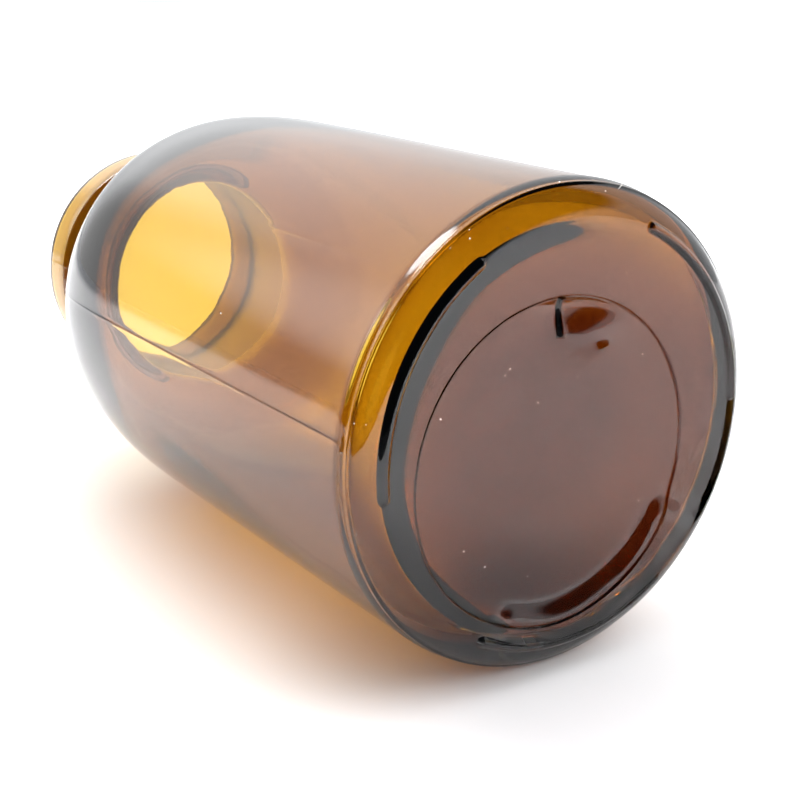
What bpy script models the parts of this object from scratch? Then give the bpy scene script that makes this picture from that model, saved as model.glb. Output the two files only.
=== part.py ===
# Wide-mouth reagent bottle of amber glass, lying on its side on a bench, with its hollow
# ground-glass stopper standing on its flat head beside it.
#
# Units are metres, +Z is up and the bench is z = 0. The bottle's axis runs along X, with the
# mouth at -X and the base at +X. The origin is on the bench, under the middle of the bottle.
#
# Both pieces are turned. A profile is a list of (radius, height) points that goes up the inside
# and down the outside. The bottle's heights are measured from its foot towards its mouth.
# Angles round the bottle's axis start at its -Y side and grow towards the top.

import bmesh
import bpy
from math import cos, pi, radians, sin

# Bottle, outside
BODY_RADIUS = 0.0535
BOTTLE_LENGTH = 0.2065
HEEL_RADIUS = 0.0080
BODY_END = 0.1144            # where the straight side gives way to the shoulder
SHOULDER_TOP = 0.1693
SHOULDER_POWER = 2.6         # 2 is an ellipse, more is squarer
NECK_RADIUS = 0.0323
NECK_FILLET = 0.0025
LIP_RADIUS = 0.0349
LIP_ROUND = 0.0014
LIP_DEPTH = 0.0140

# Bottle, base
FOOT_STEP = 0.0011           # the ribs stand this far beyond the glass round them
DISH_DEPTH = 0.0020
RIB_COUNT = 3
RIB_CIRCLE = 0.0465
RIB_WIDTH = 0.0026
RIB_SPAN = radians(63)
RIB_ROOT = 0.0012            # how far a rib reaches into the base
FIRST_RIB = radians(27)
TICK_LENGTH = 0.0085
TICK_WIDTH = 0.0016
TICK_CENTRE = 0.0262
TICK_HEIGHT = 0.0011
TICK_ANGLE = radians(86.4)

# Bottle, inside
WALL = 0.0036
FLOOR = 0.0055
FLOOR_RISE = 0.0080          # the floor swells towards its middle
BANK_RISE = 0.0022           # and starts with a steeper bank
BANK_WIDTH = 0.0050
INNER_HEEL = 0.0044
SHOULDER_WALL = 0.0062
INNER_POWER = 2.3
BORE_RADIUS = 0.0308         # at the rim
BORE_TAPER = 0.05            # radius lost per unit of depth, a 1 in 10 cone
BORE_BEVEL = 0.0005
BORE_FILLET = 0.0050

# Stopper
HEAD_RADIUS = 0.0360
HEAD_THICKNESS = 0.0110
HEAD_ROUND = 0.0030
WAIST_RADIUS = 0.0290
WAIST_LENGTH = 0.0040
PLUG_RADIUS = 0.0309
PLUG_LENGTH = 0.0380
PLUG_WALL = 0.0032
PLUG_BEVEL = 0.0008
HOLLOW_FLOOR = 0.0080        # glass left under the hollow
HOLLOW_ROUND = 0.0060
STOPPER_X = 0.1290
STOPPER_Y = 0.1124

BOTTLE_SIDES = 48
STOPPER_SIDES = 32
MERGE = 0.00001


def clear_scene():
    for item in list(bpy.data.objects):
        bpy.data.objects.remove(item, do_unlink=True)


def collection(name):
    group = bpy.data.collections.new(name)
    bpy.context.scene.collection.children.link(group)
    return group


def arc(centre, radius, start, end, steps):
    # Points of a circular arc, both ends included. Angles are in degrees.
    turns = [radians(start + (end - start) * step / steps) for step in range(steps + 1)]
    return [(centre[0] + radius * cos(turn), centre[1] + radius * sin(turn)) for turn in turns]


def shoulder(body_radius, end_radius, low, high, squareness, steps):
    # A quarter of a superellipse, from its flat top down to the straight side.
    power = 2 / squareness
    drop = body_radius - end_radius
    turns = [pi / 2 * (1 - step / steps) for step in range(steps + 1)]
    return [(end_radius + drop * max(cos(turn), 0.0) ** power,
             low + (high - low) * sin(turn) ** power) for turn in turns]


def bowl(edge_radius, edge_height, rise, steps):
    # A shallow parabola, from its edge to the axis.
    radii = [edge_radius * (1 - step / steps) for step in range(steps + 1)]
    return [(radius, edge_height + rise * (1 - (radius / edge_radius) ** 2)) for radius in radii]


def bottle_profile():
    top = BOTTLE_LENGTH
    inner_radius = BODY_RADIUS - WALL
    inner_top = SHOULDER_TOP - SHOULDER_WALL
    bore_end = BORE_RADIUS - BORE_TAPER * (top - inner_top - BORE_FILLET)

    floor_edge = inner_radius - INNER_HEEL
    bank_end = floor_edge - BANK_WIDTH
    end_rise = FLOOR_RISE * (1 - (bank_end / floor_edge) ** 2)
    inside = bowl(bank_end, FLOOR + BANK_RISE + end_rise, FLOOR_RISE - end_rise, 4)[::-1]
    middle = floor_edge - BANK_WIDTH / 2
    middle_rise = FLOOR_RISE * (1 - (middle / floor_edge) ** 2) + BANK_RISE / 2
    inside += [(middle, FLOOR + middle_rise), (floor_edge, FLOOR)]
    inside += arc((floor_edge, FLOOR + INNER_HEEL), INNER_HEEL, -90, 0, 5)[1:]
    inside += shoulder(inner_radius, bore_end + BORE_FILLET, BODY_END, inner_top, INNER_POWER, 7)[::-1]
    inside += arc((bore_end + BORE_FILLET, inner_top + BORE_FILLET), BORE_FILLET, -90, -180, 3)[1:]
    inside += [(BORE_RADIUS, top - BORE_BEVEL), (BORE_RADIUS + BORE_BEVEL, top)]

    lip_centre = LIP_RADIUS - LIP_ROUND
    lip_drop = LIP_RADIUS - NECK_RADIUS
    outside = arc((lip_centre, top - LIP_ROUND), LIP_ROUND, 90, 0, 4)
    outside += [(LIP_RADIUS, top - LIP_DEPTH + lip_drop), (NECK_RADIUS, top - LIP_DEPTH)]
    outside += arc((NECK_RADIUS + NECK_FILLET, SHOULDER_TOP + NECK_FILLET), NECK_FILLET, 180, 270, 3)
    outside += shoulder(BODY_RADIUS, NECK_RADIUS + NECK_FILLET, BODY_END, SHOULDER_TOP, SHOULDER_POWER, 9)[1:]
    heel_edge = BODY_RADIUS - HEEL_RADIUS
    outside += arc((heel_edge, FOOT_STEP + HEEL_RADIUS), HEEL_RADIUS, 0, -90, 6)
    outside += bowl(heel_edge, FOOT_STEP, DISH_DEPTH, 4)[1:]
    return inside + outside


def stopper_profile():
    # The stopper stands on its head, so its height grows from the head to the plug's open end.
    plug_start = HEAD_THICKNESS + WAIST_LENGTH
    top = plug_start + PLUG_LENGTH
    plug_end = PLUG_RADIUS - BORE_TAPER * PLUG_LENGTH
    hollow = plug_end - PLUG_WALL

    inside = [(0.0, HOLLOW_FLOOR)]
    inside += arc((hollow - HOLLOW_ROUND, HOLLOW_FLOOR + HOLLOW_ROUND), HOLLOW_ROUND, -90, 0, 4)
    inside += [(hollow, top)]

    outside = [(plug_end - PLUG_BEVEL, top), (plug_end, top - PLUG_BEVEL)]
    outside += [(PLUG_RADIUS, plug_start), (WAIST_RADIUS, plug_start - PLUG_BEVEL)]
    outside += [(WAIST_RADIUS, HEAD_THICKNESS)]
    head_edge = HEAD_RADIUS - HEAD_ROUND
    outside += arc((head_edge, HEAD_THICKNESS - HEAD_ROUND), HEAD_ROUND, 90, 0, 4)
    outside += arc((head_edge, HEAD_ROUND), HEAD_ROUND, 0, -90, 4)
    outside += [(0.0, 0.0)]
    return inside + outside


def turned(name, profile, sides, group):
    # Turns a profile round the object's Z axis. Its first corner is half a side round from
    # +X, so that a flat side faces each way along X.
    half_side = pi / sides
    points = [(radius * cos(half_side), radius * sin(half_side), height) for radius, height in profile]
    links = [(index, index + 1) for index in range(len(points) - 1)]
    mesh = bpy.data.meshes.new(name)
    mesh.from_pydata(points, links, [])
    piece = bpy.data.objects.new(name, mesh)
    group.objects.link(piece)
    screw = piece.modifiers.new("turn", "SCREW")
    screw.axis = "Z"
    screw.steps = sides
    screw.render_steps = sides
    screw.use_merge_vertices = True
    screw.merge_threshold = MERGE
    screw.use_smooth_shade = True
    return piece


def rib_cutter(name, angle, group):
    # A flat banana-shaped bar that follows the rib circle, with round ends.
    half = RIB_WIDTH / 2
    start = angle - RIB_SPAN / 2
    end = angle + RIB_SPAN / 2
    sweep = [start + RIB_SPAN * step / 12 for step in range(13)]
    outline = [on_base(RIB_CIRCLE + half, turn) for turn in sweep]
    outline += round_end(end, half, 1)
    outline += [on_base(RIB_CIRCLE - half, turn) for turn in sweep[::-1]]
    outline += round_end(start, half, -1)

    curve = bpy.data.curves.new(name, "CURVE")
    curve.dimensions = "2D"
    curve.fill_mode = "BOTH"
    curve.extrude = (FOOT_STEP + RIB_ROOT) / 2
    spline = curve.splines.new("POLY")
    spline.points.add(len(outline) - 1)
    for point, (x, y) in zip(spline.points, outline):
        point.co = (x, y, 0.0, 1.0)
    spline.use_cyclic_u = True
    bar = bpy.data.objects.new(name, curve)
    bar.location.z = curve.extrude
    group.objects.link(bar)
    return as_mesh(bar, group)


def on_base(radius, turn):
    # A point of the base plane before the bottle is laid down: its +X becomes the top.
    return radius * sin(turn), -radius * cos(turn)


def round_end(turn, half, direction):
    # The points inside a half circle that closes a rib's end.
    centre_x, centre_y = on_base(RIB_CIRCLE, turn)
    out_x, out_y = on_base(1.0, turn)
    along_x, along_y = cos(turn) * direction, sin(turn) * direction
    points = []
    for step in (1, 2, 3):
        bend = pi * step / 4
        out = half * cos(bend) * direction
        along = half * sin(bend)
        points.append((centre_x + out * out_x + along * along_x, centre_y + out * out_y + along * along_y))
    return points


def as_mesh(source, group):
    # Swaps a curve object for the welded mesh that it draws.
    bpy.context.view_layer.update()
    evaluated = source.evaluated_get(bpy.context.evaluated_depsgraph_get())
    mesh = bpy.data.meshes.new_from_object(evaluated)
    welded = bmesh.new()
    welded.from_mesh(mesh)
    bmesh.ops.remove_doubles(welded, verts=welded.verts, dist=MERGE)
    bmesh.ops.recalc_face_normals(welded, faces=welded.faces)
    welded.to_mesh(mesh)
    welded.free()
    piece = bpy.data.objects.new(source.name + "_solid", mesh)
    piece.matrix_world = source.matrix_world
    group.objects.link(piece)
    bpy.data.objects.remove(source, do_unlink=True)
    return piece


def tick_cutter(group):
    # The short radial bar inside the ribs. It stands out of the dish.
    dish_here = FOOT_STEP + DISH_DEPTH * (1 - (TICK_CENTRE / (BODY_RADIUS - HEEL_RADIUS)) ** 2)
    x, y = on_base(TICK_CENTRE, TICK_ANGLE)
    bpy.ops.mesh.primitive_cube_add(size=1.0, location=(x, y, dish_here + TICK_HEIGHT / 2))
    bar = bpy.context.object
    bar.name = "tick_solid"
    bar.scale = (TICK_LENGTH, TICK_WIDTH, 3 * TICK_HEIGHT)
    bar.rotation_euler.z = TICK_ANGLE - pi / 2
    move_to(bar, group)
    return bar


def move_to(piece, group):
    for other in list(piece.users_collection):
        other.objects.unlink(piece)
    group.objects.link(piece)


def join_to(piece, addition):
    # Fuses a raised mark with the glass under it.
    addition.hide_render = True
    addition.display_type = "WIRE"
    addition.parent = piece
    union = piece.modifiers.new("raise_" + addition.name, "BOOLEAN")
    union.operation = "UNION"
    union.solver = "EXACT"
    union.object = addition


def glass(name, colour, roughness):
    material = bpy.data.materials.new(name)
    material.use_nodes = True
    shader = material.node_tree.nodes["Principled BSDF"]
    shader.inputs["Base Color"].default_value = (*colour, 1.0)
    shader.inputs["Roughness"].default_value = roughness
    shader.inputs["Metallic"].default_value = 0.0
    shader.inputs["Transmission Weight"].default_value = 1.0
    shader.inputs["IOR"].default_value = 1.52
    material.diffuse_color = (*colour, 1.0)
    return material


def make_bottle(parts, cutters):
    bottle = turned("bottle", bottle_profile(), BOTTLE_SIDES, parts)
    for number in range(RIB_COUNT):
        angle = FIRST_RIB + 2 * pi * number / RIB_COUNT
        join_to(bottle, rib_cutter("rib_%d" % (number + 1), angle, cutters))
    join_to(bottle, tick_cutter(cutters))
    # Laid down on one flat side, foot towards +X
    bottle.location = (BOTTLE_LENGTH / 2, 0.0, BODY_RADIUS * cos(pi / BOTTLE_SIDES))
    bottle.rotation_euler = (0.0, -pi / 2, 0.0)
    bottle.data.materials.append(glass("amber_glass", (0.48, 0.20, 0.03), 0.03))


def make_stopper(parts):
    stopper = turned("stopper", stopper_profile(), STOPPER_SIDES, parts)
    stopper.location = (STOPPER_X, STOPPER_Y, 0.0)
    stopper.data.materials.append(glass("stopper_glass", (0.45, 0.19, 0.03), 0.25))


def main():
    clear_scene()
    parts = collection("reagent_bottle")
    cutters = collection("cutters")
    make_bottle(parts, cutters)
    make_stopper(parts)


main()
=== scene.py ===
from math import cos, pi, radians, sin, sqrt

import bpy
import numpy as np
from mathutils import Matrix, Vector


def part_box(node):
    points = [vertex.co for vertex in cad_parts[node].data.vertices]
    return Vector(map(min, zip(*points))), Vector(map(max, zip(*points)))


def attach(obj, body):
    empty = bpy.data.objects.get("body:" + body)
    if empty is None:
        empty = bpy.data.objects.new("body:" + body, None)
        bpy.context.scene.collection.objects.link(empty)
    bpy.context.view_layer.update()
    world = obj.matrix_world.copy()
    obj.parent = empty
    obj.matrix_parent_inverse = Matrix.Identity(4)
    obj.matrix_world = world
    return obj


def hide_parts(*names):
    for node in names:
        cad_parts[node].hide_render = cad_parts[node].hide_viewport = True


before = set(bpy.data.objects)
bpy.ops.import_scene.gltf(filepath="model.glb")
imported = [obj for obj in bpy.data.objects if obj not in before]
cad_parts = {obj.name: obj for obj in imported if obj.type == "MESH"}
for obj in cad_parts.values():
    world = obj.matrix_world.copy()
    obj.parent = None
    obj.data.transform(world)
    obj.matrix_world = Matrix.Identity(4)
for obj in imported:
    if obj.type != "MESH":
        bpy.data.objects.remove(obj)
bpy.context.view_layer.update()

# Metres throughout. The bottle lies along X with its foot at +X and its mouth at -X.
# Heights are measured from its foot towards its mouth, angles round its axis from its -Y side upwards.
bottleLow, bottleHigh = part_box("bottle")
bodyRadius = (bottleHigh.z - bottleLow.z) / 2
axisHeight = (bottleHigh.z + bottleLow.z) / 2
footX = bottleHigh.x
bottleLength = bottleHigh.x - bottleLow.x


class Wire:
    # an output socket that can stand in a sum; every operator adds one Math node
    def __init__(self, recipe, socket):
        self.recipe = recipe
        self.socket = socket

    def maths(self, operation, *values):
        return self.recipe.add("Math", {"operation": operation}, dict(enumerate(values)))

    def __add__(self, other):
        return self.maths("ADD", self, other)

    def __radd__(self, other):
        return self.maths("ADD", other, self)

    def __mul__(self, other):
        return self.maths("MULTIPLY", self, other)

    def __rmul__(self, other):
        return self.maths("MULTIPLY", other, self)

    def clamped(self):
        return self.recipe.add("Clamp", {}, {0: self})


class Recipe:
    # one node tree; add() makes any node from its type, its settings and its sockets
    def __init__(self, owner):
        owner.use_nodes = True
        self.tree = owner.node_tree
        self.tree.nodes.clear()

    def add(self, kind, settings, sockets, output=0):
        node = self.tree.nodes.new("ShaderNode" + kind)
        for key, value in settings.items():
            if key == "stops":
                self.setStops(node.color_ramp, value)
            else:
                setattr(node, key, value)
        for key, value in sockets.items():
            if isinstance(value, Wire):
                self.tree.links.new(value.socket, node.inputs[key])
            else:
                node.inputs[key].default_value = value
        return Wire(self, node.outputs[output]) if len(node.outputs) else node

    def setStops(self, ramp, stops):
        while len(ramp.elements) < len(stops):
            ramp.elements.new(0.5)
        for element, (position, colour) in zip(ramp.elements, stops):
            element.position = position
            element.color = colour


def newMaterial(name):
    material = bpy.data.materials.new(name)
    return material, Recipe(material)


amberGlass = dict(
    ior=1.52,
    polish=0.012,           # roughness of fire-polished glass
    smudge=0.05,            # what handling adds to it in patches
    groundRoughness=0.42,
    absorbColour=(0.798, 0.672, 0.0, 1.0),
    absorbDensity=900.0,
    peelSize=170.0,         # waves a metre of the mould's orange peel
    peelHeight=0.000006,
)


stopperGlass = dict(amberGlass, absorbDensity=800.0, smudge=0.03)


def glassMaterial(name, look):
    # clear glass, coloured by the depth of it that light crosses; roughness grows in handled patches
    # and where the point attribute "ground" is 1
    material, recipe = newMaterial(name)
    place = recipe.add("TexCoord", {}, {}, "Object")
    patches = recipe.add("TexNoise", {}, {"Vector": place, "Scale": 22.0, "Detail": 3.0})
    smears = recipe.add("MapRange", {}, {"Value": patches, "From Min": 0.52, "From Max": 0.75})
    ground = recipe.add("Attribute", {"attribute_name": "ground"}, {}, "Fac")
    roughness = look["polish"] + smears * look["smudge"] + ground * look["groundRoughness"]
    peel = recipe.add("TexNoise", {}, {"Vector": place, "Scale": look["peelSize"], "Detail": 2.0})
    bump = recipe.add("Bump", {}, {"Height": peel, "Strength": 1.0, "Distance": look["peelHeight"]})
    surface = recipe.add("BsdfPrincipled", {}, {
        "Base Color": (1.0, 1.0, 1.0, 1.0), "Metallic": 0.0, "Roughness": roughness,
        "IOR": look["ior"], "Transmission Weight": 1.0, "Normal": bump})
    volume = recipe.add("VolumeAbsorption", {}, {
        "Color": look["absorbColour"], "Density": look["absorbDensity"]})
    recipe.add("OutputMaterial", {}, {"Surface": surface, "Volume": volume})
    return material


def line(start, end, count):
    # count points from start to end, the last one left out
    return np.linspace(start, end, count, endpoint=False)


def arc(centre, radius, start, end, count):
    # a circular arc of the profile: height = centre + radius sin, radius = centre + radius cos, in degrees
    turn = np.radians(np.linspace(start, end, count, endpoint=False))
    return np.stack([centre[0] + radius * np.sin(turn), centre[1] + radius * np.cos(turn)], 1)


def superArc(low, high, outer, inner, power, count):
    # a quarter superellipse from the straight side up to the flat of the shoulder:
    # radius = inner + (outer - inner) cos^(2/power), height = low + (high - low) sin^(2/power)
    turn = np.linspace(0, pi / 2, count, endpoint=False)
    return np.stack([low + (high - low) * np.sin(turn) ** (2 / power),
                     inner + (outer - inner) * np.cos(turn) ** (2 / power)], 1)


def columnAngles(count, spots):
    # angles round the axis, closer together where spots (angle, half width, crowding) ask for it:
    # the running sum of a density of 1 plus a bell at each spot, read backwards
    fine = np.linspace(0, 2 * pi, 14401)
    density = np.ones_like(fine)
    for angle, width, crowding in spots:
        away = np.abs((fine - angle + pi) % (2 * pi) - pi)
        density += crowding / (1 + (away / width) ** 6)
    total = np.concatenate([[0], np.cumsum((density[1:] + density[:-1]) / 2)])
    return np.interp(np.linspace(0, total[-1], count, endpoint=False), total, fine)


def step(value, low, high):
    # 0 below low, 1 above high, and a smooth rise between
    part = np.clip((value - low) / (high - low), 0, 1)
    return part * part * (3 - 2 * part)


def away(angle, other):
    # the signed angle from other to angle, within half a turn
    return (angle - other + pi) % (2 * pi) - pi


def waves(seed, count, aroundMost, alongMost, angle, along):
    # a smooth random field of -1 to 1: a sum of sines round the axis times sines along it
    rng = np.random.default_rng(seed)
    total = 0
    for _ in range(count):
        around = rng.integers(1, aroundMost + 1)
        pace = rng.uniform(0.2, 1.0) * alongMost
        total = total + (np.sin(around * angle + rng.uniform(0, 2 * pi))
                         * np.sin(pace * along + rng.uniform(0, 2 * pi)))
    return total / sqrt(count)


def closedMesh(name, x, y, z):
    # a closed surface from a grid: rows are rings, the first and last of them one point each
    rings, columns = x.shape
    grid = np.stack([x, y, z], -1)
    points = np.concatenate([grid[0, :1], grid[1:-1].reshape(-1, 3), grid[-1, :1]])
    index = 1 + np.arange((rings - 2) * columns).reshape(rings - 2, columns)
    after = np.roll(index, -1, 1)
    quads = np.stack([index[:-1], after[:-1], after[1:], index[1:]], -1).reshape(-1, 4)
    first = np.stack([np.zeros(columns, int), after[0], index[0]], 1)
    last = np.stack([np.full(columns, len(points) - 1), index[-1], after[-1]], 1)
    return meshFrom(name, points, quads, np.concatenate([first, last]))


def meshFrom(name, points, quads, triangles):
    mesh = bpy.data.meshes.new(name)
    corners = np.concatenate([quads.ravel(), triangles.ravel()])
    starts = np.concatenate([np.arange(len(quads)) * 4, len(quads) * 4 + np.arange(len(triangles)) * 3])
    mesh.vertices.add(len(points))
    mesh.vertices.foreach_set("co", points.ravel().astype(np.float32))
    mesh.loops.add(len(corners))
    mesh.loops.foreach_set("vertex_index", corners.astype(np.int32))
    mesh.polygons.add(len(starts))
    mesh.polygons.foreach_set("loop_start", starts.astype(np.int32))
    mesh.update(calc_edges=True)
    mesh.shade_smooth()
    piece = bpy.data.objects.new(name, mesh)
    bpy.context.scene.collection.objects.link(piece)
    return piece


def pointAttribute(piece, name, values):
    layer = piece.data.attributes.new(name, "FLOAT", "POINT")
    layer.data.foreach_set("value", values.astype(np.float32))


bottle = dict(
    columns=330,
    wall=0.0036,
    heelRadius=0.0080,
    partingAngle=29.0,      # where on the heel's round the base plate meets the body mould, in degrees
    partingWidth=0.00050,
    partingHeight=0.00028,
    shoulderStart=0.1144,
    shoulderTop=0.1693,
    shoulderPower=2.6,
    neckRadius=0.0323,
    neckFillet=0.0025,
    lipRadius=0.0349,
    lipRound=0.0014,
    lipDepth=0.0140,
    boreRadius=0.0308,
    boreTaper=0.05,
    boreBevel=0.0005,
    boreFillet=0.0050,
    shoulderWall=0.0062,
    innerPower=2.3,
    floor=0.0055,
    floorRise=0.0080,       # the floor swells towards its middle, after a steeper bank at its edge
    bankRise=0.0016,
    bankWidth=0.0064,
    bankKeep=0.40,          # how much of the bank is left on the far side
    bankAngle=radians(-28),
    bankFull=radians(50),
    bankGone=radians(135),
    risePower=2.7,
    innerHeel=0.0044,
    sag=0.0035,             # extra glass in the heel on the side the bottle cooled on
    sagAngle=radians(-135),
    sagFull=radians(50),
    sagNone=radians(100),
    innerWave=0.00028,      # how far the inner wall wanders from true
    outerWave=0.00004,
    seamAngle=radians(7.8),
    scarAngle=radians(46.4),        # a fainter line beside the seam, part of the way along
    scarFrom=0.023,
    scarTo=0.051,
    scarDepth=0.8,          # of the seam's height
    seamWidth=0.00040,
    seamHeight=0.00008,
)

base = dict(
    footStep=0.0011,
    dish=0.0020,
    ribCircle=0.0465,
    ribWidth=0.0026,
    ribSpan=radians(63),
    ribFirst=radians(27),
    markRadius=0.0356,      # the round mark of the mould's end plate, off centre
    markY=-0.0033,
    markZ=-0.0055,
    markStep=0.00020,
    markGroove=0.00042,
    markWidth=0.00022,
    tickAngle=radians(91.0),
    tickLength=0.0084,
    tickWidth=0.0018,
    tickHeight=0.00120,
    ripple=0.00004,
    chillSide=0.42,         # the strongest ripples are this far round from the tick, in radians
    chillSpan=0.34,
    chillRadius=0.0310,
    chillWidth=0.0040,
    bankHeight=0.00170,     # the disc's lower edge banks up, in streaks
    bankInner=0.0298,
    bankFrom=radians(-160),
    bankTo=radians(-60),
    dentSlope=0.56,         # a dent beside the tick faces upwards
    dentPlace=(0.0074, 0.0302),     # from the mark's centre, +Y and up
    dentSize=(0.0086, 0.0056),
)


def baseHeight(y, z):
    # how far the base's surface lies in from the foot plane, from the place (y, z) off the axis
    radius = np.hypot(y, z)
    angle = np.arctan2(z, -y)
    edge = bodyRadius - bottle["heelRadius"]
    mark = base["markRadius"]
    height = base["footStep"] + base["dish"] * np.clip(1 - (radius / edge) ** 2, 0, 1)
    # the end plate's mark: a fine groove round a disc that is let in a little
    fromMark = np.hypot(y - base["markY"], z - base["markZ"])
    markAngle = np.arctan2(z - base["markZ"], -(y - base["markY"]))
    height += base["markStep"] * (1 - step(fromMark, base["markRadius"] - 0.0004, base["markRadius"]))
    height += base["markGroove"] * np.exp(-((fromMark - base["markRadius"]) / base["markWidth"]) ** 2)
    # the short tick inside the mark's top
    side = np.abs(away(markAngle, base["tickAngle"])) * fromMark
    inner = base["markRadius"] - base["tickLength"]
    tick = np.clip(1 - (2 * side / base["tickWidth"]) ** 2, 0, 1) ** 0.5
    tick = tick * step(fromMark, inner - 0.0003, inner + 0.0003)
    tick = tick * (1 - step(fromMark, base["markRadius"] - 0.0003, base["markRadius"] + 0.0002))
    height -= base["tickHeight"] * tick
    # the streaky bank: a smooth fall to the mark's edge, over part of the way round
    turn = away(markAngle, (base["bankFrom"] + base["bankTo"]) / 2)
    half = (base["bankTo"] - base["bankFrom"]) / 2
    span = 1 - step(np.abs(turn), half * 0.75, half)
    streaks = 0.88 + 0.12 * waves(21, 7, 9, 900, markAngle, fromMark)
    fall = 1 - step(fromMark, base["bankInner"], base["markRadius"] - 0.0004)
    height += base["bankHeight"] * span * streaks * (fall - 1)
    # the dent: a plane that slopes upwards inside a soft-edged oval
    dentY = y - base["markY"] - base["dentPlace"][0]
    dentZ = z - base["markZ"] - base["dentPlace"][1]
    oval = (dentY / base["dentSize"][0]) ** 2 + (dentZ / base["dentSize"][1]) ** 2
    height += base["dentSlope"] * dentZ * np.exp(-oval) * (1 - step(fromMark, mark - 0.0012, mark))
    # chill ripples, strongest beside the tick
    side = (markAngle - base["tickAngle"] + base["chillSide"]) / base["chillSpan"]
    near = np.exp(-(side ** 2 + ((fromMark - base["chillRadius"]) / base["chillWidth"]) ** 2))
    inside = 1 - step(fromMark, 0.020, 0.034)
    height += base["ripple"] * waves(5, 9, 5, 500, markAngle, fromMark) * (0.35 + inside)
    height += 2 * base["ripple"] * near * waves(9, 7, 26, 1500, markAngle, fromMark)
    return height - ribRise(radius, angle) * base["footStep"]


def ribRise(radius, angle):
    # a round-backed bead, 1 on its crest: 1 - (distance / half width)^2 from each rib's middle line
    rise = 0
    half = base["ribWidth"] / 2
    for number in range(3):
        turn = away(angle, base["ribFirst"] + 2 * pi * number / 3)
        past = np.clip(np.abs(turn) - base["ribSpan"] / 2, 0, None) * radius
        distance = np.hypot(radius - base["ribCircle"], past)
        rise = rise + np.clip(1 - (distance / half) ** 2, 0, 1)
    return rise


def bottleOutside():
    # the outer profile above the base as (height, radius), heel to rim
    b = bottle
    edge = bodyRadius - b["heelRadius"]
    top = bottleLength
    heelCentre = (base["footStep"] + b["heelRadius"], edge)
    neckCorner = (b["shoulderTop"] + b["neckFillet"], b["neckRadius"] + b["neckFillet"])
    lipDrop = b["lipRadius"] - b["neckRadius"]
    lipLow = top - b["lipDepth"] + lipDrop
    stops = [(90, 62, 24), (62, 48, 7), (48, 38, 4), (38, 20, 24), (20, 0, 8)]
    heel = np.concatenate([arc(heelCentre, b["heelRadius"], -high, -low, count)
                           for high, low, count in stops])
    # the parting line of the base plate: a fine raised bead, a bell over the distance along the heel
    turn = np.degrees(np.arctan2(heelCentre[0] - heel[:, 0], heel[:, 1] - edge))
    along = np.radians(turn - b["partingAngle"]) * b["heelRadius"] / b["partingWidth"]
    lift = 1 + b["partingHeight"] * np.exp(-along ** 2) / b["heelRadius"]
    heel = heelCentre + (heel - heelCentre) * lift[:, None]
    return np.concatenate([
        heel[1:],
        line((heelCentre[0], bodyRadius), (b["shoulderStart"], bodyRadius), 20),
        superArc(b["shoulderStart"], b["shoulderTop"], bodyRadius, neckCorner[1], b["shoulderPower"], 28),
        arc(neckCorner, b["neckFillet"], 270, 180, 7),
        line((neckCorner[0], b["neckRadius"]), (top - b["lipDepth"] - 0.001, b["neckRadius"]), 6),
        coveAndLip(top, lipLow, lipDrop),
    ])


def coveAndLip(top, lipLow, lipDrop):
    # the lip: a cove out of the neck, a short straight edge and a rounded outer corner
    b = bottle
    blend = np.linspace(0, 1, 9, endpoint=False)
    cove = np.stack([top - b["lipDepth"] - 0.001 + (lipLow - top + b["lipDepth"] + 0.001) * blend,
                     b["neckRadius"] + lipDrop * step(blend, 0, 1)], 1)
    corner = (top - b["lipRound"], b["lipRadius"] - b["lipRound"])
    return np.concatenate([
        cove,
        line((lipLow, b["lipRadius"]), (corner[0], b["lipRadius"]), 3),
        arc(corner, b["lipRound"], 0, 90, 8),
        line((top, corner[1]), (top, b["boreRadius"] + b["boreBevel"]), 4),
    ])


def bottleInside():
    # the inner profile, rim to floor centre, the last point on the axis
    b = bottle
    inner = bodyRadius - b["wall"]
    innerTop = b["shoulderTop"] - b["shoulderWall"]
    boreEnd = b["boreRadius"] - b["boreTaper"] * (bottleLength - innerTop - b["boreFillet"])
    corner = (innerTop + b["boreFillet"], boreEnd + b["boreFillet"])
    heel = (b["floor"] + b["innerHeel"], inner - b["innerHeel"])
    side = superArc(b["shoulderStart"], innerTop, inner, corner[1], b["innerPower"], 22)[::-1]
    radii = np.concatenate([line(heel[1], heel[1] - b["bankWidth"], 12),
                            np.linspace(heel[1] - b["bankWidth"], 0, 18)])
    rise = b["floorRise"] * (1 - (radii / heel[1]) ** b["risePower"])
    rise += b["bankRise"] * (1 - step(radii, heel[1] - b["bankWidth"], heel[1]))
    floor = np.stack([b["floor"] + rise, radii], 1)
    bevel = b["boreBevel"]
    return np.concatenate([
        arc((bottleLength - bevel, b["boreRadius"] + bevel), bevel, 90, 180, 4),
        line((bottleLength - bevel, b["boreRadius"]), (corner[0], boreEnd), 9),
        arc(corner, b["boreFillet"], 180, 270, 6),
        np.array([(innerTop, corner[1])]),
        side,
        line((b["shoulderStart"], inner), (heel[0], inner), 15)[1:],
        arc(heel, b["innerHeel"], 0, -90, 18),
        floor,
    ])


def baseRings():
    # radii of the base's rings from its pole outwards, close together at the tick, the mark and the ribs,
    # and how much of the mark's offset each ring's centre keeps
    mark = base["markRadius"]
    inner = mark - base["tickLength"]
    edge = bodyRadius - bottle["heelRadius"]
    radii = np.concatenate([
        line(0, inner - 0.0006, 20),
        line(inner - 0.0006, inner + 0.0006, 7),
        line(inner + 0.0006, mark - 0.0007, 7),
        line(mark - 0.0007, mark + 0.0007, 28),
        line(mark + 0.0007, 0.0430, 10),
        np.linspace(0.0430, edge, 12),
    ])
    keeps = 1 - np.clip((radii - mark - 0.0007) / (0.0430 - mark - 0.0007), 0, 1)
    return radii, keeps


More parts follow.
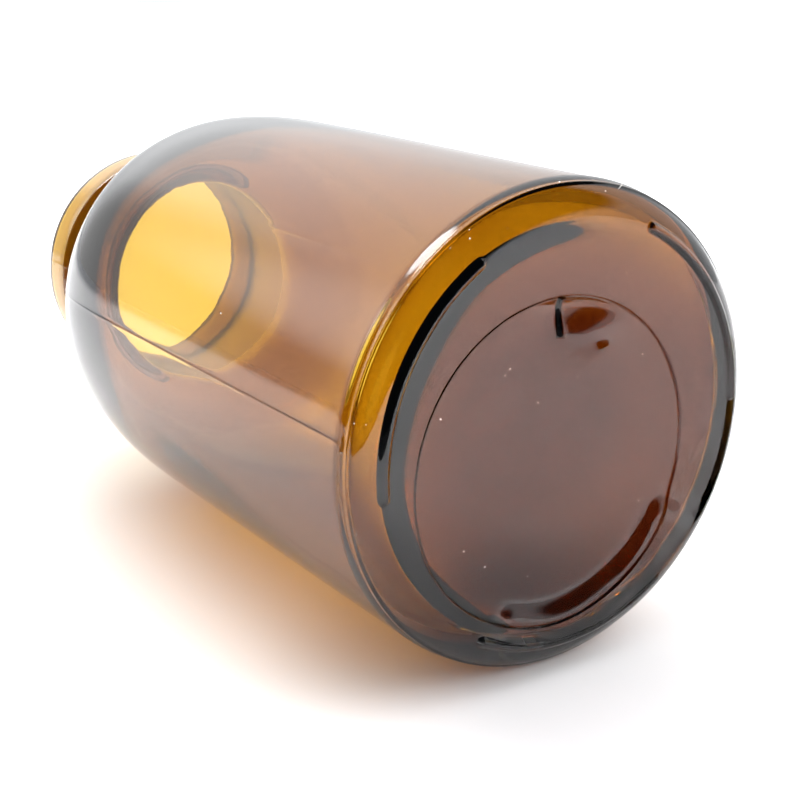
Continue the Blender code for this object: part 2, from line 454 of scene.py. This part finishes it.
def makeBottle():
    # rings along the profile times columns round the axis; each point is moved along the profile's normal
    b = bottle
    ends = [base["ribFirst"] + 2 * pi * number / 3 + side * base["ribSpan"] / 2
            for number in range(3) for side in (-1, 1)]
    spots = [(angle % (2 * pi), radians(2.2), 4) for angle in ends]
    spots += [(base["tickAngle"], radians(1.6), 7)]
    spots += [(spot, radians(0.5), 20) for spot in (b["seamAngle"], b["seamAngle"] + pi, b["scarAngle"])]
    angle = columnAngles(b["columns"], spots)[None, :]

    radii, keeps = baseRings()
    y = -radii[:, None] * np.cos(angle) + base["markY"] * keeps[:, None]
    z = radii[:, None] * np.sin(angle) + base["markZ"] * keeps[:, None]
    x = baseHeight(y, z)

    outside = bottleOutside()
    inside = bottleInside()
    wall = np.concatenate([outside, inside])
    slope = np.gradient(wall, axis=0)
    normal = np.stack([-slope[:, 1], slope[:, 0]], 1)
    normal /= np.linalg.norm(normal, axis=1)[:, None]
    height, radius = wall[:, :1], wall[:, 1:]
    isInside = (np.arange(len(wall)) >= len(outside))[:, None]

    seam = sum(np.exp(-((away(angle, b["seamAngle"] + half) * radius) / b["seamWidth"]) ** 2)
               for half in (0, pi))
    seam = seam * step(height, 0.004, 0.009) * (1 - step(height, bottleLength - 0.003, bottleLength))
    # a fainter line, let into the glass
    scar = np.exp(-((away(angle, b["scarAngle"]) * radius) / b["seamWidth"]) ** 2)
    scar = scar * step(height, b["scarFrom"] - 0.003, b["scarFrom"] + 0.003)
    scar = scar * (1 - step(height, b["scarTo"] - 0.003, b["scarTo"] + 0.003))
    seam = seam - b["scarDepth"] * scar
    proud = b["seamHeight"] * seam + b["outerWave"] * waves(3, 8, 5, 120, angle, height)
    proud = proud * step(height, 0.001, 0.012)
    ribs = ribRise(radius, angle) * (height < 0.003)
    fade = step(height, 0.004, 0.030) * (1 - step(height, 0.150, 0.170)) + 0.35
    sunk = b["innerWave"] * waves(7, 10, 4, 70, angle, height) * fade
    sunk = sunk * np.clip(radius / 0.02, 0, 1)
    sag = b["sag"] * (1 - step(np.abs(away(angle, b["sagAngle"])), b["sagFull"], b["sagNone"]))
    sunk = sunk + sag * (1 - step(height, 0.010, 0.026)) * step(radius, 0.020, 0.042)
    shift = np.where(isInside, sunk, proud)
    # the bank at the floor's edge is full round the lower left and runs out towards the top and the right
    bankEdge = bodyRadius - b["wall"] - b["innerHeel"]
    lost = (1 - b["bankKeep"]) * step(np.abs(away(angle, b["bankAngle"])), b["bankFull"], b["bankGone"])
    onFloor = isInside & (height < 0.03) & (radius < bankEdge + 0.00001)
    lost = lost * onFloor * b["bankRise"] * (1 - step(radius, bankEdge - b["bankWidth"], bankEdge))
    lost = lost * step(radius, 0.012, 0.034)
    wallX = height + normal[:, :1] * shift - np.where(isInside, lost, ribs * base["footStep"])
    wallR = radius + normal[:, 1:] * shift
    wallR[-1] = 0

    x = footX - np.concatenate([x, wallX])
    y = np.concatenate([y, -wallR * np.cos(angle)])
    z = axisHeight + np.concatenate([z, wallR * np.sin(angle)])
    piece = closedMesh("bottle_glass", x, y, z)
    piece.data.materials.append(glassMaterial("amber_glass", amberGlass))

    boreLow = b["shoulderTop"] - b["shoulderWall"] + b["boreFillet"]
    onBore = isInside[:, 0] & (wall[:, 0] > boreLow) & (wall[:, 1] < b["boreRadius"] + 0.0001)
    ground = np.concatenate([np.zeros(len(radii)), onBore * 1.0])[:, None] * np.ones_like(angle)
    pointAttribute(piece, "ground", pointOrder(ground))
    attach(piece, "bottle")
    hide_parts("bottle")
    print("bottle:", len(piece.data.polygons), "faces,", round(volume(piece) * 1e6, 1), "cubic cm")


def pointOrder(grid):
    # the grid's values in the order of closedMesh's points
    return np.concatenate([grid[0, :1], grid[1:-1].ravel(), grid[-1, :1]])


def volume(piece):
    # the enclosed volume: a sixth of the sum of each triangle's corners' triple product
    mesh = piece.data
    mesh.calc_loop_triangles()
    corners = np.zeros(len(mesh.loop_triangles) * 3, np.int32)
    mesh.loop_triangles.foreach_get("vertices", corners)
    points = np.zeros(len(mesh.vertices) * 3, np.float32)
    mesh.vertices.foreach_get("co", points)
    a, c, d = points.reshape(-1, 3).astype(float)[corners.reshape(-1, 3)].transpose(1, 0, 2)
    return float(np.einsum("ij,ij->i", a, np.cross(c, d)).sum() / 6)


stopper = dict(
    columns=180,
    headRadius=0.0360,
    headThickness=0.0110,
    headRound=0.0030,
    footDish=0.0004,        # the head's top is a little hollow
    waistRadius=0.0290,
    waistLength=0.0040,
    waistRound=0.0012,
    plugRadius=0.0309,
    plugLength=0.0380,
    plugWall=0.0032,
    plugBevel=0.0008,
    hollowFloor=0.0080,
    hollowRound=0.0060,
    wave=0.00006,
    grind=0.000025,
)


def stopperProfile():
    # (height, radius) from the middle of the head's flat up the outside, over the plug's end and
    # down the hollow, with 1 where the surface is ground
    t = stopper
    plugStart = t["headThickness"] + t["waistLength"]
    top = plugStart + t["plugLength"]
    plugEnd = t["plugRadius"] - bottle["boreTaper"] * t["plugLength"]
    hollow = plugEnd - t["plugWall"]
    edge = t["headRadius"] - t["headRound"]
    flat = np.linspace(0, edge, 12, endpoint=False)
    dish = np.stack([t["footDish"] * (1 - step(flat, edge * 0.55, edge * 0.8)), flat], 1)
    polishedLow = np.concatenate([
        dish,
        arc((t["headRound"], edge), t["headRound"], -90, 0, 14),
        arc((t["headThickness"] - t["headRound"], edge), t["headRound"], 0, 90, 14),
        line((t["headThickness"], edge), (t["headThickness"], t["waistRadius"] + t["waistRound"]), 4),
        arc((t["headThickness"] + t["waistRound"], t["waistRadius"] + t["waistRound"]),
            t["waistRound"], 270, 180, 8),
        line((t["headThickness"] + t["waistRound"], t["waistRadius"]),
             (plugStart - 0.0006, t["waistRadius"]), 3),
        line((plugStart - 0.0006, t["waistRadius"]), (plugStart, t["plugRadius"] - 0.0003), 3),
    ])
    grinding = np.concatenate([
        line((plugStart, t["plugRadius"] - 0.0003), (plugStart + 0.0003, t["plugRadius"]), 2),
        line((plugStart + 0.0003, t["plugRadius"]), (top - t["plugBevel"], plugEnd), 40),
        arc((top - t["plugBevel"], plugEnd - t["plugBevel"]), t["plugBevel"], 0, 90, 5),
    ])
    rim = t["plugWall"] * 0.3
    polishedTop = np.concatenate([
        line((top, plugEnd - t["plugBevel"]), (top, hollow + rim), 4),
        arc((top - rim, hollow + rim), rim, 90, 180, 6),
        line((top - rim, hollow), (t["hollowFloor"] + t["hollowRound"], hollow), 16),
        arc((t["hollowFloor"] + t["hollowRound"], hollow - t["hollowRound"]), t["hollowRound"], 0, -90, 14),
        np.stack([np.full(8, t["hollowFloor"]), np.linspace(hollow - t["hollowRound"], 0, 8)], 1),
    ])
    ground = np.concatenate([np.zeros(len(polishedLow)), np.ones(len(grinding)), np.zeros(len(polishedTop))])
    return np.concatenate([polishedLow, grinding, polishedTop]), ground


def makeStopper():
    # turned like the bottle, standing on its head; the glass wanders a little, the ground plug doesn't
    t = stopper
    profile, ground = stopperProfile()
    low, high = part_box("stopper")
    centreX, centreY = (low.x + high.x) / 2, (low.y + high.y) / 2
    angle = np.linspace(0, 2 * pi, t["columns"], endpoint=False)[None, :]
    height, radius = profile[:, :1], profile[:, 1:]
    loose = 1 - ground[:, None]
    radius = radius + loose * step(radius, 0, 0.02) * t["wave"] * waves(31, 8, 4, 160, angle, height)
    radius[0] = 0
    radius[-1] = 0
    # fine turning marks of the grinding wheel
    radius = radius + ground[:, None] * t["grind"] * np.sin(height * 2 * pi / 0.0019)
    x = centreX + radius * np.cos(angle)
    y = centreY + radius * np.sin(angle)
    z = low.z + height + 0 * angle
    piece = closedMesh("stopper_glass", x, y, z)
    piece.data.materials.append(glassMaterial("stopper_glass", stopperGlass))
    pointAttribute(piece, "ground", pointOrder(ground[:, None] + 0 * angle))
    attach(piece, "stopper")
    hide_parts("stopper")
    print("stopper:", len(piece.data.polygons), "faces,", round(volume(piece) * 1e6, 1), "cubic cm")


dust = dict(
    count=46,
    smallest=0.00011,
    largest=0.00034,
    sideFrom=radians(-35),
    sideTo=radians(105),
    rowFrom=20,             # rows of the bottle's outer profile that the side's specks lie on
    rowTo=95,
    baseFrom=0.004,
    baseTo=0.040,
    fibreRadius=0.00011,
    fibreRise=0.00231,
    fibreAngle=radians(103),
    fibreAlong=0.0030,      # from the foot
    fibreFrom=0.0518,       # from the axis
)


def makeDust():
    # white specks on the side, the heel and the base, and one short fibre caught on the top of the heel;
    # each speck is a squashed octahedron, half of it in the glass
    rng = np.random.default_rng(12)
    points, triangles = [], []
    corners = np.array([(1, 0, 0), (-1, 0, 0), (0, 1, 0), (0, -1, 0), (0, 0, 1), (0, 0, -1)], float)
    faces = np.array([(0, 2, 4), (2, 1, 4), (1, 3, 4), (3, 0, 4), (2, 0, 5), (1, 2, 5), (3, 1, 5), (0, 3, 5)])
    profile = bottleOutside()
    for number in range(dust["count"]):
        size = rng.uniform(dust["smallest"], dust["largest"]) * rng.uniform(0.4, 1)
        angle = rng.uniform(dust["sideFrom"], dust["sideTo"])
        if number % 3:
            height, radius = profile[int(rng.integers(dust["rowFrom"], dust["rowTo"]))]
            place = np.array([footX - height, -radius * cos(angle), axisHeight + radius * sin(angle)])
        else:
            radius = rng.uniform(dust["baseFrom"], dust["baseTo"])
            angle = rng.uniform(0, 2 * pi)
            y, z = -radius * cos(angle), radius * sin(angle)
            place = np.array([footX - float(baseHeight(y, z)), y, axisHeight + z])
        shape = corners * size * rng.uniform(0.5, 1.2, (6, 1))
        triangles.append(faces + 6 * number)
        points.append(place + shape)
    # the fibre: a bent three-sided thread
    along = np.linspace(0, 1, 12)
    angle, radius = dust["fibreAngle"], dust["fibreFrom"]
    start = np.array([footX - dust["fibreAlong"], -radius * cos(angle), axisHeight + radius * sin(angle)])
    bend = np.stack([0.0006 * np.sin(along * 4), 0.0010 * along, along * dust["fibreRise"]], 1)
    turn = np.arange(3) * 2 * pi / 3
    ring = np.stack([np.cos(turn), np.sin(turn), 0 * turn], 1) * dust["fibreRadius"]
    thread = ((start + bend)[:, None, :] + ring[None, :, :]).reshape(-1, 3)
    first = 6 * dust["count"]
    index = first + np.arange(36).reshape(12, 3)
    after = np.roll(index, -1, 1)
    quads = np.stack([index[:-1], after[:-1], after[1:], index[1:]], -1).reshape(-1, 4)
    triangles += [index[:1, ::-1], index[-1:]]
    piece = meshFrom("dust", np.concatenate(points + [thread]), quads, np.concatenate(triangles))
    material, recipe = newMaterial("dust")
    surface = recipe.add("BsdfPrincipled", {}, {"Base Color": (0.86, 0.84, 0.80, 1.0), "Roughness": 0.9})
    recipe.add("OutputMaterial", {}, {"Surface": surface})
    piece.data.materials.append(material)
    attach(piece, "bottle")
    print("dust:", dust["count"], "specks and a fibre")


camera = dict(
    lens=65.5,
    sensor=36.0,
    offset=(4.0560, -3.5252, 1.8674),   # from the middle of the base, in body radii
    azimuth=56.24,
    pitch=17.77,
)


def makeCamera():
    data = bpy.data.cameras.new("camera")
    data.lens = camera["lens"]
    data.sensor_width = camera["sensor"]
    data.clip_start = 0.01
    data.clip_end = 20.0
    holder = bpy.data.objects.new("camera", data)
    offset = [part * bodyRadius for part in camera["offset"]]
    holder.location = (footX + offset[0], offset[1], axisHeight + offset[2])
    holder.rotation_euler = (radians(90 - camera["pitch"]), 0, radians(camera["azimuth"]))
    bpy.context.scene.collection.objects.link(holder)
    bpy.context.scene.camera = holder


studio = dict(
    floorSize=6.0,
    floorColour=(0.86, 0.86, 0.865, 1.0),
    floorFarShade=(0.33, 0.34, 0.355, 1.0),      # painted shade: the paper's colour darkened where the light has fallen off
    underShadow=(0.52, 0.52, 0.53, 1.0),    # painted shadow: the paper darkened where the bottle and the room behind the camera shade it
    underPlace=(0.118, 0.012, 0.0),
    underFrom=0.030,
    underTo=0.100,
    farTowards=(-0.95, -0.31, 0.0),
    farFrom=0.75,
    farTo=1.6,
    shadeLeft=-0.16,
    tableEdge=-0.32,        # past this the room is dark; only reflections see it
    pale=(1.15, 1.17, 1.2, 1.0),
    lightBack=(4.9, 4.9, 4.95, 1.0),
    lightFront=(0.60, 0.60, 0.60, 1.0),
    lightTowards=(-0.25, 0.95, 0.2),
    skyHigh=(2.1, 2.12, 2.15, 1.0),
    skyLow=(1.3, 1.32, 1.34, 1.0),
    skyBack=(1.25, 1.27, 1.3, 1.0),
    dark=(0.03, 0.035, 0.04, 1.0),
    # dark openings: towards, dark to and lit from, in degrees off that line
    openings=[((0.62, -0.10, 0.78), 54, 62), ((0.42, -0.906, 0.0), 54, 64)],
    # windows and pale walls: colour, towards, full to and none from
    windows=[((0.9, 0.9, 0.9, 1.0), (-0.94, -0.33, 0.12), 9, 24),
             ((3.0, 3.1, 3.2, 1.0), (-0.74, -0.53, 0.42), 4, 18),
             ((5.0, 5.1, 5.3, 1.0), (-0.60, -0.60, 0.52), 4, 9),
             ((17.0, 17.2, 17.6, 1.0), (-0.42, -0.25, 0.87), 8, 14)],
)


def makeFloor():
    half = studio["floorSize"] / 2
    edge = studio["tableEdge"]
    corners = np.array([(-half, -half, 0), (half, -half, 0), (half, half, 0), (-half, half, 0)], float)
    floor = meshFrom("floor", corners, np.array([[0, 1, 2, 3]]), np.zeros((0, 3), int))
    material, recipe = newMaterial("floor_paper")
    place = recipe.add("TexCoord", {}, {}, "Object")
    # painted shade: the paper darkens along farTowards, where the light falls off
    reach = recipe.add("VectorMath", {"operation": "DOT_PRODUCT"},
                       {0: place, 1: studio["farTowards"]}, "Value")
    far = recipe.add("MapRange", {"interpolation_type": "SMOOTHSTEP"},
                     {"Value": reach, "From Min": studio["farFrom"], "From Max": studio["farTo"]})
    colour = recipe.add("Mix", {"data_type": "RGBA"},
                        {0: far, 6: studio["floorColour"], 7: studio["floorFarShade"]}, 2)
    # painted shadow: the paper darkened round underPlace, in front of the foot, where the bottle shades it
    apart = recipe.add("VectorMath", {"operation": "DISTANCE"}, {0: place, 1: studio["underPlace"]}, "Value")
    clear = recipe.add("MapRange", {"interpolation_type": "SMOOTHSTEP"},
                       {"Value": apart, "From Min": studio["underFrom"], "From Max": studio["underTo"]})
    colour = recipe.add("Mix", {"data_type": "RGBA"}, {0: clear, 6: studio["underShadow"], 7: colour}, 2)
    surface = recipe.add("BsdfPrincipled", {}, {"Base Color": colour, "Roughness": 0.9})
    recipe.add("OutputMaterial", {}, {"Surface": surface})
    floor.data.materials.append(material)

    # painted reflection: a dark sheet past the table's edge stands in for the unlit room, there for
    # reflections only
    left = studio["shadeLeft"]
    corners = np.array([(left, -half, 0.001), (half, -half, 0.001), (half, edge, 0.001), (left, edge, 0.001)])
    room = meshFrom("dark_room", corners, np.array([[0, 1, 2, 3]]), np.zeros((0, 3), int))
    material, recipe = newMaterial("reflected_room_shade")
    surface = recipe.add("BsdfPrincipled", {}, {"Base Color": studio["dark"], "Roughness": 1.0})
    recipe.add("OutputMaterial", {}, {"Surface": surface})
    room.data.materials.append(material)
    room.visible_camera = False
    room.visible_diffuse = False
    room.visible_shadow = False
    room.visible_transmission = False


def makeWorld():
    # three skies: a pale one for the camera, a bright back and dim front to light the scene, and the room
    # that the glass mirrors: pale sides, a soft window, and dark openings overhead and in front
    world = bpy.data.worlds.new("studio")
    world.cycles.sampling_method = "NONE"
    bpy.context.scene.world = world
    recipe = Recipe(world)
    direction = recipe.add("TexCoord", {}, {}, "Generated")

    def towards(aim):
        return recipe.add("VectorMath", {"operation": "DOT_PRODUCT"}, {0: direction, 1: aim}, "Value")

    def ramp(value, low, high):
        return recipe.add("MapRange", {"interpolation_type": "SMOOTHSTEP"},
                          {"Value": value, "From Min": low, "From Max": high})

    def near(aim, inner, outer):
        # 1 within inner degrees of the aim, 0 past outer degrees
        length = sqrt(sum(part * part for part in aim))
        aim = tuple(part / length for part in aim)
        return ramp(towards(aim), cos(radians(outer)), cos(radians(inner)))

    def mix(factor, one, other):
        return recipe.add("Mix", {"data_type": "RGBA"}, {0: factor, 6: one, 7: other}, 2)

    upward = recipe.add("SeparateXYZ", {}, {"Vector": direction}, "Z")
    room = mix(ramp(upward, 0.07, 0.29), studio["skyLow"], studio["skyHigh"])
    room = mix(ramp(towards((0.0, 1.0, 0.0)), 0.1, 0.8), room, studio["skyBack"])
    for aim, inner, outer in studio["openings"]:
        room = mix(near(aim, inner, outer), room, studio["dark"])
    for colour, aim, inner, outer in studio["windows"]:
        room = mix(near(aim, inner, outer), room, colour)

    light = mix(ramp(towards(studio["lightTowards"]), -0.45, 0.6), studio["lightFront"], studio["lightBack"])
    seen = mix(recipe.add("LightPath", {}, {}, "Is Camera Ray"), room, studio["pale"])
    depth = recipe.add("LightPath", {}, {}, "Diffuse Depth").clamped()
    background = recipe.add("Background", {}, {"Color": mix(depth, seen, light), "Strength": 1.0})
    recipe.add("OutputWorld", {}, {"Surface": background})


def setRender():
    scene = bpy.context.scene
    scene.view_settings.view_transform = "Standard"
    scene.view_settings.look = "None"
    scene.cycles.max_bounces = 24
    scene.cycles.transmission_bounces = 24
    scene.cycles.glossy_bounces = 12
    scene.cycles.diffuse_bounces = 4
    scene.cycles.blur_glossy = 0.0


makeCamera()
makeWorld()
makeFloor()
setRender()
print("stage ready")
makeBottle()
makeStopper()
makeDust()
